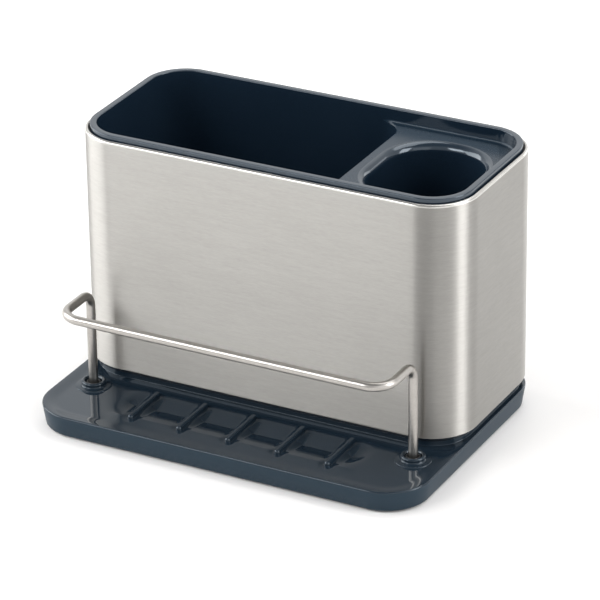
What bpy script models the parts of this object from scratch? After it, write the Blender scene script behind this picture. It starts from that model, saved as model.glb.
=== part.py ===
"""Sink caddy: a brushed steel caddy with a lift-out plastic liner, standing on a drip tray with a wire rail.

Frame: metres, +Z up, +X to the right, -Y towards the front. The origin is on the worktop, under the middle
of the tray. Every size that can be chosen by itself is a named value below; the rest is worked out from them.
"""
import math

import bmesh
import bpy

# Running gap between two pieces that touch on the real caddy
FIT = 0.0003

# Caddy body: the folded steel sleeve sets the size of everything that sits in it
BODY_LENGTH = 0.225
BODY_DEPTH = 0.105
BODY_HEIGHT = 0.132
BODY_CORNER = 0.0255
SHEET = 0.0008
EDGE_TURN = 0.0016
EDGE_ROLL = 0.0013

# Drip tray: as long as the body, deeper by the bench in front of it
BENCH_DEPTH = 0.0535
TRAY_HEIGHT = 0.0114
TRAY_CORNER = 0.0245
TRAY_DRAFT = 0.0016
TRAY_WALL = 0.0024
TRAY_FLOOR = 0.0024
TRAY_EDGE_ROUND = 0.0008
DISH_DEPTH = 0.0014
DISH_WIDTH = 0.009
FOOT_DROP = 0.001

# Plinth that carries the body, with a drip well inside it
PLINTH_INSET = 0.003
PLINTH_HEIGHT = 0.0034
PLINTH_WALL = 0.0024
PLINTH_FILLET = 0.0012
WELL_DEPTH = 0.0008

# Sponge ribs and the shallow channel that runs under them
RIB_COUNT = 5
RIB_PITCH = 0.0289
RIB_LENGTH = 0.0313
RIB_WIDTH = 0.0032
RIB_HEIGHT = 0.0025
RIB_FLARE = 0.0024
RIB_WAIST = 0.0015
RIB_FRONT_MARGIN = 0.0148
CHANNEL_DEPTH = 0.001
CHANNEL_HALF_WIDTH = 0.0122
CHANNEL_FRONT_MARGIN = 0.020
CHANNEL_END_MARGIN = 0.033

# Rail: one bent stainless wire, standing in two sockets of the tray
WIRE_RADIUS = 0.00245
RAIL_SIDE_INSET = 0.018
RAIL_SETBACK = 0.0125
RAIL_REACH = 0.0323
RAIL_HEIGHT = 0.0555
RAIL_TOP_BEND = 0.0078
RAIL_CORNER_BEND = 0.0115
SOCKET_DEPTH = 0.0122
SOCKET_BOSS_RADIUS = 0.0058
SOCKET_BOSS_HEIGHT = 0.004
SOCKET_BOSS_FLARE = 0.0031
SOCKET_BOSS_EDGE = 0.0006
SOCKET_CHAMFER = 0.0005
GROMMET_WALL = 0.0012
GROMMET_SINK = 0.0009

# Non-slip feet
FOOT_RADIUS = 0.007
FOOT_RECESS = 0.0018
FOOT_POST_WALL = 0.002
FOOT_EDGE_MARGIN = 0.0155
FOOT_CHAMFER = 0.0004

# Caddy base: the moulding inside the sleeve's lower edge
BASE_PLATE = 0.0024
BASE_SKIRT_HEIGHT = 0.0122
BASE_SKIRT_WALL = 0.0015
BASE_LEDGE = 0.002
BASE_STEP_WALL = 0.0022
LOCATING_LIP_WALL = 0.0016
LOCATING_LIP_DROP = 0.0024

# Inner liner, with the main compartment on the left and a brush cup on the right
LINER_INSET = 0.0026
LINER_RISE = 0.0025
LINER_RIM = 0.0036
LINER_RIM_BAND = 0.0065
LINER_RIM_ROUND = 0.0012
LINER_WALL = 0.0026
LINER_DRAFT = 0.0024
LINER_FLOOR = 0.0024
LINER_FLOOR_ROUND = 0.004
SHELF_DROP = 0.0079
SHELF_THICKNESS = 0.0024
SHELF_STEP = 0.00015
DIVIDER_X = 0.035
DIVIDER_CORNER = 0.009
CUP_WALL = 0.0024
CUP_LEFT_MARGIN = 0.007
CUP_RIGHT_MARGIN = 0.0074
CUP_BACK_MARGIN = 0.0115
CUP_FRONT_MARGIN = 0.008
CUP_CORNER = 0.027
CUP_MOUTH_ROUND = 0.0022
CUP_DRAFT = 0.002

# Drain slots through the liner's floor and the base plate
DRAIN_WIDTH = 0.0036
DRAIN_LENGTH = 0.018
DRAIN_PITCH_X = 0.026
DRAIN_PITCH_Y = 0.030
DRAIN_MARGIN = 0.012
BASE_DRAIN_EXTRA = 0.001

# Faces along a quarter round, by size of the round
CORNER_STEPS = 10
SMALL_STEPS = 3
WIRE_SIDES_LEVEL = 5
OVERSHOOT = 0.004

# Places worked out from the sizes above
TRAY_DEPTH = BODY_DEPTH + BENCH_DEPTH
BODY_Y = (TRAY_DEPTH - BODY_DEPTH) / 2
TRAY_TOP = FOOT_DROP + TRAY_HEIGHT
FLOOR_TOP = TRAY_TOP - DISH_DEPTH
PLINTH_TOP = FLOOR_TOP + PLINTH_HEIGHT
WELL_TOP = FLOOR_TOP - WELL_DEPTH
CAVITY_TOP = FLOOR_TOP - max(WELL_DEPTH, CHANNEL_DEPTH) - TRAY_FLOOR
BASE_BOTTOM = PLINTH_TOP + FIT
BASE_TOP = BASE_BOTTOM + BASE_PLATE
STEEL_BOTTOM = BASE_TOP - FIT
STEEL_TOP = STEEL_BOTTOM + BODY_HEIGHT
LEDGE_BOTTOM = STEEL_BOTTOM + SHEET + FIT
LINER_BOTTOM = BASE_TOP + FIT
RIM_TOP = STEEL_TOP + LINER_RISE
SHELF_TOP = RIM_TOP - SHELF_DROP
OPENING_INSET = LINER_INSET + LINER_RIM
BODY_FRONT = BODY_Y - BODY_DEPTH / 2
TRAY_FRONT = -TRAY_DEPTH / 2
RAIL_X = BODY_LENGTH / 2 - RAIL_SIDE_INSET
RAIL_Y = BODY_FRONT - RAIL_SETBACK
RAIL_Z = FLOOR_TOP + RAIL_HEIGHT
SOCKET_TOP = FLOOR_TOP + SOCKET_BOSS_HEIGHT
SOCKET_BOTTOM = SOCKET_TOP - SOCKET_DEPTH
BORE_RADIUS = WIRE_RADIUS + GROMMET_WALL + 2 * FIT

DARK_BLUE_GREY = (0.045, 0.062, 0.082)
STEEL_GREY = (0.62, 0.60, 0.57)
WIRE_GREY = (0.58, 0.56, 0.53)
RUBBER_BLACK = (0.02, 0.021, 0.023)


def clear_scene():
    for old in list(bpy.data.objects):
        bpy.data.objects.remove(old, do_unlink=True)


def make_material(name, colour, roughness, metallic):
    material = bpy.data.materials.new(name)
    material.use_nodes = True
    shader = material.node_tree.nodes["Principled BSDF"]
    shader.inputs["Base Color"].default_value = (*colour, 1.0)
    shader.inputs["Roughness"].default_value = roughness
    shader.inputs["Metallic"].default_value = metallic
    return material


def quarter(steps):
    """Angles from 0 to 90 degrees, both ends included."""
    return [math.pi / 2 * step / steps for step in range(steps + 1)]


def round_corners(centres, radii, z, steps=CORNER_STEPS):
    """A counter-clockwise outline of four rounded corners, first the right rear one."""
    ring = []
    for index, (centre, radius) in enumerate(zip(centres, radii)):
        start = math.pi / 2 * index
        for angle in quarter(steps):
            x = centre[0] + radius * math.cos(start + angle)
            y = centre[1] + radius * math.sin(start + angle)
            ring.append((x, y, z))
    return ring


def box_ring(x0, x1, y0, y1, left_radius, right_radius, z, steps=CORNER_STEPS):
    """Outline of a box with one corner radius on its left and another on its right."""
    left = max(left_radius, FIT)
    right = max(right_radius, FIT)
    centres = [(x1 - right, y1 - right), (x0 + left, y1 - left), (x0 + left, y0 + left), (x1 - right, y0 + right)]
    return round_corners(centres, [right, left, left, right], z, steps)


def body_ring(inset, z):
    """The body's outline, drawn in by inset, at height z."""
    half = BODY_LENGTH / 2 - inset
    y0 = BODY_FRONT + inset
    y1 = BODY_FRONT + BODY_DEPTH - inset
    return box_ring(-half, half, y0, y1, BODY_CORNER - inset, BODY_CORNER - inset, z)


def tray_ring(inset, z):
    """The tray's outline, drawn in by inset, at height z."""
    half = BODY_LENGTH / 2 - inset
    corner = TRAY_CORNER - inset
    return box_ring(-half, half, TRAY_FRONT + inset, TRAY_DEPTH / 2 - inset, corner, corner, z)


def circle_ring(x, y, radius, z, steps=6):
    return round_corners([(x, y)] * 4, [radius] * 4, z, steps)


def without_doubles(ring):
    """Drops a point that lies on the one before it, so that no edge has zero length."""
    kept = []
    for point in ring:
        if not kept or math.dist(kept[-1], point) > 1e-7:
            kept.append(point)
    if math.dist(kept[0], kept[-1]) < 1e-7:
        kept.pop()
    return kept


def add_loft(mesh, rings, closed=False):
    """Joins each outline to the next with quads, and caps the first and last unless the loft is a closed tube."""
    rows = []
    for ring in rings:
        rows.append([mesh.verts.new(point) for point in without_doubles(ring)])
    pairs = list(zip(rows[:-1], rows[1:]))
    if closed:
        pairs.append((rows[-1], rows[0]))
    count = len(rows[0])
    for lower, upper in pairs:
        for i in range(count):
            j = (i + 1) % count
            mesh.faces.new((lower[i], lower[j], upper[j], upper[i]))
    if not closed:
        mesh.faces.new(rows[0][::-1])
        mesh.faces.new(rows[-1])


def finish_mesh(name, mesh, material=None, origin=(0, 0, 0)):
    """Turns a bmesh into a named object with its faces pointing out."""
    bmesh.ops.recalc_face_normals(mesh, faces=mesh.faces)
    bmesh.ops.translate(mesh, verts=mesh.verts, vec=[-value for value in origin])
    data = bpy.data.meshes.new(name)
    mesh.to_mesh(data)
    mesh.free()
    data.shade_smooth()
    data.set_sharp_from_angle(angle=math.radians(35))
    solid = bpy.data.objects.new(name, data)
    solid.location = origin
    bpy.context.collection.objects.link(solid)
    if material:
        data.materials.append(material)
    return solid


def loft(name, lofts, material=None, closed=False, origin=(0, 0, 0)):
    """One object made of one or more lofts that don't touch each other."""
    mesh = bmesh.new()
    for rings in lofts:
        add_loft(mesh, rings, closed)
    return finish_mesh(name, mesh, material, origin)


def combine(solid, tool, operation):
    """Leaves a Boolean on the solid, and hides its tool."""
    tool.hide_render = True
    tool.display_type = "WIRE"
    step = solid.modifiers.new(tool.name, "BOOLEAN")
    step.operation = operation
    step.solver = "EXACT"
    step.object = tool
    return solid


def make_steel_sleeve(material):
    """Sheet steel wrapped round the body, its top and bottom edges rolled inwards."""
    profile = []
    for angle in quarter(SMALL_STEPS):
        inset = EDGE_ROLL * (1 - math.cos(angle))
        profile.append((inset, STEEL_TOP - EDGE_ROLL + EDGE_ROLL * math.sin(angle)))
    profile.append((EDGE_TURN, STEEL_TOP))
    profile.append((EDGE_TURN, STEEL_TOP - SHEET))
    bend = EDGE_ROLL - SHEET
    for angle in reversed(quarter(SMALL_STEPS)):
        inset = EDGE_ROLL - bend * math.cos(angle)
        profile.append((inset, STEEL_TOP - EDGE_ROLL + bend * math.sin(angle)))
    for angle in quarter(SMALL_STEPS):
        inset = EDGE_ROLL - bend * math.cos(angle)
        profile.append((inset, STEEL_BOTTOM + EDGE_ROLL - bend * math.sin(angle)))
    profile.append((EDGE_TURN, STEEL_BOTTOM + SHEET))
    profile.append((EDGE_TURN, STEEL_BOTTOM))
    for angle in reversed(quarter(SMALL_STEPS)):
        inset = EDGE_ROLL * (1 - math.cos(angle))
        profile.append((inset, STEEL_BOTTOM + EDGE_ROLL - EDGE_ROLL * math.sin(angle)))
    rings = [body_ring(inset, z) for inset, z in profile]
    return loft("steel_sleeve", [rings], material, closed=True)


def drain_places():
    """Centres of the drain slots: a centred grid in the main compartment and one row in the cup."""
    main_left = -BODY_LENGTH / 2 + OPENING_INSET + LINER_DRAFT + DRAIN_MARGIN
    main_right = DIVIDER_X - LINER_DRAFT - DRAIN_MARGIN
    columns = max(1, int((main_right - main_left) / DRAIN_PITCH_X) + 1)
    middle = (main_left + main_right) / 2
    places = []
    for column in range(columns):
        for row in (-1, 1):
            x = middle + (column - (columns - 1) / 2) * DRAIN_PITCH_X
            places.append((x, BODY_Y + row * DRAIN_PITCH_Y / 2))
    cup_x, cup_y = cup_centre()
    for side in (-1, 1):
        places.append((cup_x + side * DRAIN_PITCH_X / 4, cup_y))
    return places


def slot_rings(x, y, length, width, z0, z1):
    """A round-ended slot along Y."""
    rings = []
    for z in (z0, z1):
        y0 = y - length / 2
        y1 = y + length / 2
        rings.append(box_ring(x - width / 2, x + width / 2, y0, y1, width / 2, width / 2, z, SMALL_STEPS))
    return rings


def make_caddy_base(material):
    """Base moulding: plate, ledge over the sleeve's rolled edge, skirt inside the sleeve, lip into the well."""
    skirt_out = SHEET + FIT
    skirt_in = skirt_out + BASE_SKIRT_WALL
    lip_out = PLINTH_INSET + PLINTH_WALL + FIT
    lip_in = lip_out + LOCATING_LIP_WALL
    ledge_top = LEDGE_BOTTOM + BASE_LEDGE
    step_in = PLINTH_INSET + BASE_STEP_WALL
    profile = [
        (lip_in, BASE_BOTTOM),
        (lip_in, BASE_BOTTOM - LOCATING_LIP_DROP),
        (lip_out, BASE_BOTTOM - LOCATING_LIP_DROP),
        (lip_out, BASE_BOTTOM),
        (PLINTH_INSET, BASE_BOTTOM),
        (PLINTH_INSET, LEDGE_BOTTOM),
        (skirt_out, LEDGE_BOTTOM),
        (skirt_out, LEDGE_BOTTOM + BASE_SKIRT_HEIGHT),
        (skirt_in, LEDGE_BOTTOM + BASE_SKIRT_HEIGHT),
        (skirt_in, ledge_top),
        (step_in, ledge_top),
        (step_in, BASE_TOP),
    ]
    base = loft("caddy_base", [[body_ring(inset, z) for inset, z in profile]], material)
    length = DRAIN_LENGTH + 2 * BASE_DRAIN_EXTRA
    width = DRAIN_WIDTH + 2 * BASE_DRAIN_EXTRA
    z0 = BASE_BOTTOM - OVERSHOOT
    z1 = BASE_TOP + OVERSHOOT
    slots = [slot_rings(x, y, length, width, z0, z1) for x, y in drain_places()]
    combine(base, loft("base_drains", slots), "DIFFERENCE")
    return base


def cup_box(margin):
    """Plan of the brush cup at the shelf, grown by margin on every side: x0, x1, y0, y1."""
    x0 = DIVIDER_X + CUP_LEFT_MARGIN - margin
    x1 = BODY_LENGTH / 2 - OPENING_INSET - CUP_RIGHT_MARGIN + margin
    y0 = BODY_FRONT + OPENING_INSET + CUP_FRONT_MARGIN - margin
    y1 = BODY_FRONT + BODY_DEPTH - OPENING_INSET - CUP_BACK_MARGIN + margin
    return x0, x1, y0, y1


def cup_centre():
    x0, x1, y0, y1 = cup_box(0)
    return (x0 + x1) / 2, (y0 + y1) / 2


def cup_ring(margin, z):
    x0, x1, y0, y1 = cup_box(margin)
    corner = min(CUP_CORNER + margin, (x1 - x0) / 2 - FIT, (y1 - y0) / 2 - FIT)
    return box_ring(x0, x1, y0, y1, corner, corner, z)


def liner_outer_rings():
    """Outside of the liner: rounded foot, drafted walls, thicker band at the rim."""
    foot_inset = LINER_INSET + LINER_RIM - LINER_WALL + LINER_DRAFT
    wall_inset = LINER_INSET + LINER_RIM - LINER_WALL
    rings = []
    for angle in quarter(SMALL_STEPS):
        inset = foot_inset + LINER_FLOOR_ROUND * (1 - math.sin(angle))
        rings.append(body_ring(inset, LINER_BOTTOM + LINER_FLOOR_ROUND * (1 - math.cos(angle))))
    rings.append(body_ring(wall_inset, RIM_TOP - LINER_RIM_BAND - (wall_inset - LINER_INSET)))
    rings.append(body_ring(LINER_INSET, RIM_TOP - LINER_RIM_BAND))
    for angle in quarter(SMALL_STEPS):
        inset = LINER_INSET + LINER_RIM_ROUND * (1 - math.cos(angle))
        rings.append(body_ring(inset, RIM_TOP - LINER_RIM_ROUND * (1 - math.sin(angle))))
    return rings


def rim_cut_rings():
    """The mouth above the shelf, with the rim's inner edge rounded."""
    rings = [body_ring(OPENING_INSET, SHELF_TOP)]
    for angle in quarter(SMALL_STEPS):
        inset = OPENING_INSET - LINER_RIM_ROUND * (1 - math.cos(angle))
        rings.append(body_ring(inset, RIM_TOP - LINER_RIM_ROUND * (1 - math.sin(angle))))
    rings.append(body_ring(OPENING_INSET - LINER_RIM_ROUND, RIM_TOP + OVERSHOOT))
    return rings


def compartment_rings():
    """The main compartment, drafted towards a rounded floor."""
    def plan(inset, z):
        x0 = -BODY_LENGTH / 2 + OPENING_INSET + inset
        y0 = BODY_FRONT + OPENING_INSET + inset
        y1 = BODY_FRONT + BODY_DEPTH - OPENING_INSET - inset
        left = BODY_CORNER - OPENING_INSET - inset
        return box_ring(x0, DIVIDER_X - inset, y0, y1, left, DIVIDER_CORNER - inset, z)

    floor = LINER_BOTTOM + LINER_FLOOR
    foot = LINER_DRAFT + SHELF_STEP
    rings = []
    for angle in quarter(SMALL_STEPS):
        inset = foot + LINER_FLOOR_ROUND * (1 - math.sin(angle))
        rings.append(plan(inset, floor + LINER_FLOOR_ROUND * (1 - math.cos(angle))))
    rings.append(plan(SHELF_STEP, SHELF_TOP - FIT))
    rings.append(plan(SHELF_STEP, SHELF_TOP + OVERSHOOT))
    return rings


def cup_rings():
    """The brush cup, with a rolled mouth and a drafted wall."""
    floor = LINER_BOTTOM + LINER_FLOOR
    throat = -CUP_MOUTH_ROUND
    foot = throat - CUP_DRAFT
    rings = []
    for angle in quarter(SMALL_STEPS):
        margin = foot - LINER_FLOOR_ROUND * (1 - math.sin(angle))
        rings.append(cup_ring(margin, floor + LINER_FLOOR_ROUND * (1 - math.cos(angle))))
    for angle in quarter(SMALL_STEPS):
        margin = throat + CUP_MOUTH_ROUND * (1 - math.cos(angle))
        rings.append(cup_ring(margin, SHELF_TOP - CUP_MOUTH_ROUND * (1 - math.sin(angle))))
    rings.append(cup_ring(0, SHELF_TOP + OVERSHOOT))
    return rings


def make_liner_underside():
    """The hollow round the cup, open from below: the space inside the right-hand walls less the cup's own tube."""
    top = SHELF_TOP - SHELF_THICKNESS

    def plan(inset, z):
        x1 = BODY_LENGTH / 2 - OPENING_INSET - inset
        y0 = BODY_FRONT + OPENING_INSET + inset
        y1 = BODY_FRONT + BODY_DEPTH - OPENING_INSET - inset
        x0 = DIVIDER_X + LINER_WALL - inset
        right = BODY_CORNER - OPENING_INSET - inset
        return box_ring(x0, x1, y0, y1, DIVIDER_CORNER / 3, right, z)

    rings = [plan(LINER_DRAFT + LINER_FLOOR_ROUND, LINER_BOTTOM - OVERSHOOT)]
    rings.append(plan(LINER_DRAFT + LINER_FLOOR_ROUND, LINER_BOTTOM + LINER_FLOOR_ROUND))
    rings.append(plan(LINER_DRAFT, LINER_BOTTOM + 2 * LINER_FLOOR_ROUND))
    rings.append(plan(0, top))
    hollow = loft("liner_underside", [rings])
    outer = CUP_WALL - CUP_MOUTH_ROUND
    tube_rings = [cup_ring(outer - CUP_DRAFT, LINER_BOTTOM - 2 * OVERSHOOT), cup_ring(outer, SHELF_TOP)]
    combine(hollow, loft("cup_tube", [tube_rings]), "DIFFERENCE")
    return hollow


def make_inner_liner(material):
    """Lift-out liner: one moulding with the main compartment, the shelf and the brush cup."""
    liner = loft("inner_liner", [liner_outer_rings()], material, origin=(0, BODY_Y, LINER_BOTTOM))
    combine(liner, loft("liner_mouth", [rim_cut_rings()]), "DIFFERENCE")
    combine(liner, loft("liner_compartment", [compartment_rings()]), "DIFFERENCE")
    combine(liner, loft("liner_cup", [cup_rings()]), "DIFFERENCE")
    combine(liner, make_liner_underside(), "DIFFERENCE")
    z0 = LINER_BOTTOM - OVERSHOOT
    z1 = LINER_BOTTOM + LINER_FLOOR + OVERSHOOT
    slots = [slot_rings(x, y, DRAIN_LENGTH, DRAIN_WIDTH, z0, z1) for x, y in drain_places()]
    combine(liner, loft("liner_drains", slots), "DIFFERENCE")
    return liner


def foot_places():
    """Name and centre of each foot, one in each corner of the tray."""
    x = BODY_LENGTH / 2 - FOOT_EDGE_MARGIN
    y = TRAY_DEPTH / 2 - FOOT_EDGE_MARGIN
    places = {}
    for row, side_y in (("front", -y), ("rear", y)):
        for side, side_x in (("left", -x), ("right", x)):
            places[f"{row}_{side}"] = (side_x, side_y)
    return places


def rail_feet():
    """Name and centre of the two places where the rail's legs stand."""
    return {"left": (-RAIL_X, RAIL_Y), "right": (RAIL_X, RAIL_Y)}


def tray_shell_rings():
    """Outside of the tray: drafted skirt, rounded edge, and a top that dips to a flat floor."""
    rings = [tray_ring(TRAY_DRAFT, FOOT_DROP)]
    for angle in quarter(SMALL_STEPS):
        inset = TRAY_EDGE_ROUND * (1 - math.cos(angle))
        rings.append(tray_ring(inset, TRAY_TOP - TRAY_EDGE_ROUND * (1 - math.sin(angle))))
    for share in (0.25, 0.5, 0.75, 1.0):
        drop = DISH_DEPTH * (1 - math.cos(math.pi * share)) / 2
        rings.append(tray_ring(TRAY_EDGE_ROUND + DISH_WIDTH * share, TRAY_TOP - drop))
    return rings


def plinth_rings():
    """Raised step under the body, its foot filleted into the tray."""
    rings = [body_ring(PLINTH_INSET - PLINTH_FILLET, CAVITY_TOP + FIT)]
    for angle in quarter(SMALL_STEPS):
        inset = PLINTH_INSET - PLINTH_FILLET * (1 - math.sin(angle))
        rings.append(body_ring(inset, FLOOR_TOP + PLINTH_FILLET * (1 - math.cos(angle))))
    rings.append(body_ring(PLINTH_INSET, PLINTH_TOP))
    return rings


def rib_rings(x):
    """A sponge rib: a low round-topped bar with round ends, flared where it meets the tray."""
    y0 = TRAY_FRONT + RIB_FRONT_MARGIN
    y1 = y0 + RIB_LENGTH
    half = RIB_WIDTH / 2
    foot = FLOOR_TOP - CHANNEL_DEPTH - FIT
    profile = [(RIB_FLARE, foot - FIT)]
    waist = FLOOR_TOP + RIB_WAIST
    for share in (0.0, 0.3, 0.65, 1.0):
        out = RIB_FLARE * (1 - share) ** 2
        profile.append((out, foot + (waist - foot) * share))
    crown = FLOOR_TOP + RIB_HEIGHT - waist
    for angle in quarter(SMALL_STEPS)[1:]:
        profile.append((-(half - FIT) * (1 - math.cos(angle)), waist + crown * math.sin(angle)))
    rings = []
    for out, z in profile:
        radius = half + out
        rings.append(box_ring(x - radius, x + radius, y0 - out, y1 + out, radius, radius, z, SMALL_STEPS))
    return rings


def socket_boss_rings(x, y):
    """The collar that a rail leg stands in, flared like a small volcano."""
    rings = [circle_ring(x, y, SOCKET_BOSS_RADIUS + SOCKET_BOSS_FLARE, CAVITY_TOP + FIT)]
    waist = SOCKET_BOSS_HEIGHT - SOCKET_BOSS_EDGE
    for share in (0.0, 0.15, 0.4, 1.0):
        radius = SOCKET_BOSS_RADIUS + SOCKET_BOSS_FLARE * (1 - share) ** 3
        rings.append(circle_ring(x, y, radius, FLOOR_TOP + waist * share))
    rings.append(circle_ring(x, y, SOCKET_BOSS_RADIUS - SOCKET_BOSS_EDGE, SOCKET_TOP))
    return rings


def channel_rings():
    """Shallow V-shaped channel under the ribs, its ends sloping up as its sides do."""
    half_length = BODY_LENGTH / 2 - CHANNEL_END_MARGIN
    middle = TRAY_FRONT + CHANNEL_FRONT_MARGIN
    bottom = FLOOR_TOP - CHANNEL_DEPTH
    top = FLOOR_TOP + OVERSHOOT
    reach = CHANNEL_HALF_WIDTH * (1 + OVERSHOOT / CHANNEL_DEPTH)
    sections = [
        (-half_length - reach, top),
        (-half_length, bottom),
        (half_length, bottom),
        (half_length + reach, top),
    ]
    rings = []
    for x, low in sections:
        rings.append([(x, middle - reach, top), (x, middle, low), (x, middle + reach, top), (x, middle, top + FIT)])
    return rings


def make_tray_cavity():
    """The hollow under the tray, less the posts that carry the feet and the rail sockets."""
    inset = TRAY_DRAFT + TRAY_WALL
    cavity = loft("tray_cavity", [[tray_ring(inset, FOOT_DROP - OVERSHOOT), tray_ring(inset, CAVITY_TOP)]])
    top = CAVITY_TOP + OVERSHOOT
    low = FOOT_DROP - 2 * OVERSHOOT
    radius = FOOT_RADIUS + FIT + FOOT_POST_WALL
    posts = []
    for x, y in foot_places().values():
        posts.append([circle_ring(x, y, radius, low), circle_ring(x, y, radius, top)])
    combine(cavity, loft("foot_posts", posts), "DIFFERENCE")
    tubes = []
    for x, y in rail_feet().values():
        tubes.append([circle_ring(x, y, SOCKET_BOSS_RADIUS, low), circle_ring(x, y, SOCKET_BOSS_RADIUS, top)])
    combine(cavity, loft("socket_posts", tubes), "DIFFERENCE")
    return cavity


def socket_bore_rings(x, y):
    """Blind bore for the grommet, with a countersunk mouth."""
    return [
        circle_ring(x, y, BORE_RADIUS, SOCKET_BOTTOM),
        circle_ring(x, y, BORE_RADIUS, SOCKET_TOP - SOCKET_CHAMFER),
        circle_ring(x, y, BORE_RADIUS + SOCKET_CHAMFER, SOCKET_TOP),
        circle_ring(x, y, BORE_RADIUS + SOCKET_CHAMFER, SOCKET_TOP + OVERSHOOT),
    ]


def make_drip_tray(material):
    """Moulded drip tray with its plinth, ribs, channel, sockets and foot recesses."""
    tray = loft("drip_tray", [tray_shell_rings()], material)
    combine(tray, loft("drip_channel", [channel_rings()]), "DIFFERENCE")
    combine(tray, loft("body_plinth", [plinth_rings()]), "UNION")
    ribs = []
    for index in range(RIB_COUNT):
        ribs.append(rib_rings((index - (RIB_COUNT - 1) / 2) * RIB_PITCH))
    combine(tray, loft("sponge_ribs", ribs), "UNION")
    bosses = [socket_boss_rings(x, y) for x, y in rail_feet().values()]
    combine(tray, loft("socket_bosses", bosses), "UNION")
    well_inset = PLINTH_INSET + PLINTH_WALL
    well = [body_ring(well_inset, WELL_TOP), body_ring(well_inset, PLINTH_TOP + OVERSHOOT)]
    combine(tray, loft("drip_well", [well]), "DIFFERENCE")
    combine(tray, make_tray_cavity(), "DIFFERENCE")
    bores = [socket_bore_rings(x, y) for x, y in rail_feet().values()]
    combine(tray, loft("socket_bores", bores), "DIFFERENCE")
    recesses = []
    radius = FOOT_RADIUS + FIT
    top = FOOT_DROP + FOOT_RECESS
    for x, y in foot_places().values():
        recesses.append([circle_ring(x, y, radius, FOOT_DROP - OVERSHOOT), circle_ring(x, y, radius, top)])
    combine(tray, loft("foot_recesses", recesses), "DIFFERENCE")
    return tray


def make_feet(material):
    """Four round rubber feet, pressed into recesses under the tray."""
    top = FOOT_DROP + FOOT_RECESS - FIT
    for name, (x, y) in foot_places().items():
        rings = [
            circle_ring(x, y, FOOT_RADIUS - FOOT_CHAMFER, 0),
            circle_ring(x, y, FOOT_RADIUS, FOOT_CHAMFER),
            circle_ring(x, y, FOOT_RADIUS, top),
        ]
        loft(f"tray_foot_{name}", [rings], material, origin=(x, y, 0))


def make_grommets(material):
    """Soft tubes in the sockets, which grip the rail's legs."""
    inner = WIRE_RADIUS + FIT
    outer = inner + GROMMET_WALL
    low = SOCKET_BOTTOM + FIT
    high = SOCKET_TOP - GROMMET_SINK
    for name, (x, y) in rail_feet().items():
        rings = [
            circle_ring(x, y, outer, low),
            circle_ring(x, y, outer, high),
            circle_ring(x, y, inner, high),
            circle_ring(x, y, inner, low),
        ]
        loft(f"rail_grommet_{name}", [rings], material, closed=True, origin=(x, y, low))


def rail_half_route():
    """Centre line of the rail's right half, from the foot of its leg to its front corner."""
    points = [(RAIL_X, 0.0, SOCKET_BOTTOM + FIT)]
    for angle in quarter(6):
        forward = RAIL_TOP_BEND * (1 - math.cos(angle))
        points.append((RAIL_X, -forward, RAIL_Z - RAIL_TOP_BEND * (1 - math.sin(angle))))
    for angle in quarter(8):
        across = RAIL_CORNER_BEND * (1 - math.cos(angle))
        forward = RAIL_REACH - RAIL_CORNER_BEND * (1 - math.sin(angle))
        points.append((RAIL_X - across, -forward, RAIL_Z))
    return points


def make_rail(material):
    """The rail: one wire bent from leg to leg. Its origin is midway between the feet of its legs."""
    right = rail_half_route()
    left = [(-x, y, z) for x, y, z in reversed(right)]
    route = right + left
    curve = bpy.data.curves.new("rail", "CURVE")
    curve.dimensions = "3D"
    curve.bevel_depth = WIRE_RADIUS
    curve.bevel_resolution = WIRE_SIDES_LEVEL
    curve.use_fill_caps = True
    spline = curve.splines.new("POLY")
    spline.points.add(len(route) - 1)
    for point, place in zip(spline.points, route):
        point.co = (*place, 1.0)
    spline.use_smooth = True
    rail = bpy.data.objects.new("rail", curve)
    rail.location = (0, RAIL_Y, 0)
    bpy.context.collection.objects.link(rail)
    curve.materials.append(material)
    return rail


clear_scene()
plastic = make_material("blue_grey_plastic", DARK_BLUE_GREY, 0.2, 0.0)
brushed = make_material("brushed_steel", STEEL_GREY, 0.35, 1.0)
satin_wire = make_material("satin_wire", WIRE_GREY, 0.25, 1.0)
rubber = make_material("black_rubber", RUBBER_BLACK, 0.8, 0.0)

make_drip_tray(plastic)
make_feet(rubber)
make_grommets(rubber)
make_rail(satin_wire)
make_caddy_base(plastic)
make_steel_sleeve(brushed)
make_inner_liner(plastic)
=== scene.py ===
"""Looks of the sink caddy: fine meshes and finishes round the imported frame, in metres."""
import math

import bmesh
import bpy
import numpy as np
from mathutils import Matrix, Vector, geometry


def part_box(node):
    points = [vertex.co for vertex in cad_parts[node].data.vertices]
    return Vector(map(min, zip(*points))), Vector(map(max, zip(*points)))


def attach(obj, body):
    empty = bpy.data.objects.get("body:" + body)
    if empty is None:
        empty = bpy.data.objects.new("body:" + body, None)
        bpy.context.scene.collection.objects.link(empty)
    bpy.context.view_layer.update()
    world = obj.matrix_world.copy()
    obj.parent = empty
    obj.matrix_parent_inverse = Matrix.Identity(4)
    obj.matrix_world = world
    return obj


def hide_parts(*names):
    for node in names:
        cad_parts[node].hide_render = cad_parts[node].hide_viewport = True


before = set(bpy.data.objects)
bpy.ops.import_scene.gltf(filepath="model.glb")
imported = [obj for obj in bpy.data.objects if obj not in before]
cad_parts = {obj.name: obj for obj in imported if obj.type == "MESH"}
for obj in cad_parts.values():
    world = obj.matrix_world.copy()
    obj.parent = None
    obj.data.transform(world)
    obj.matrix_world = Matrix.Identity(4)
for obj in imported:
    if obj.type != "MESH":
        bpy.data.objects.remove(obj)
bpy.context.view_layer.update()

# Camera
# It stands to the right of the front and looks down on the rim, far off, with a long lens.
# The place and the angles come from a fit to the photograph's edges.
CAMERA_PLACE = (0.858751, -1.594763, 0.948175)
CAMERA_AZIMUTH = math.radians(28.0231)
CAMERA_ELEVATION = math.radians(25.9861)
CAMERA_ROLL = math.radians(-0.8045)
CAMERA_LENS = 231.10
SENSOR = 36.0
CLIP_END = 20.0
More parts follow.
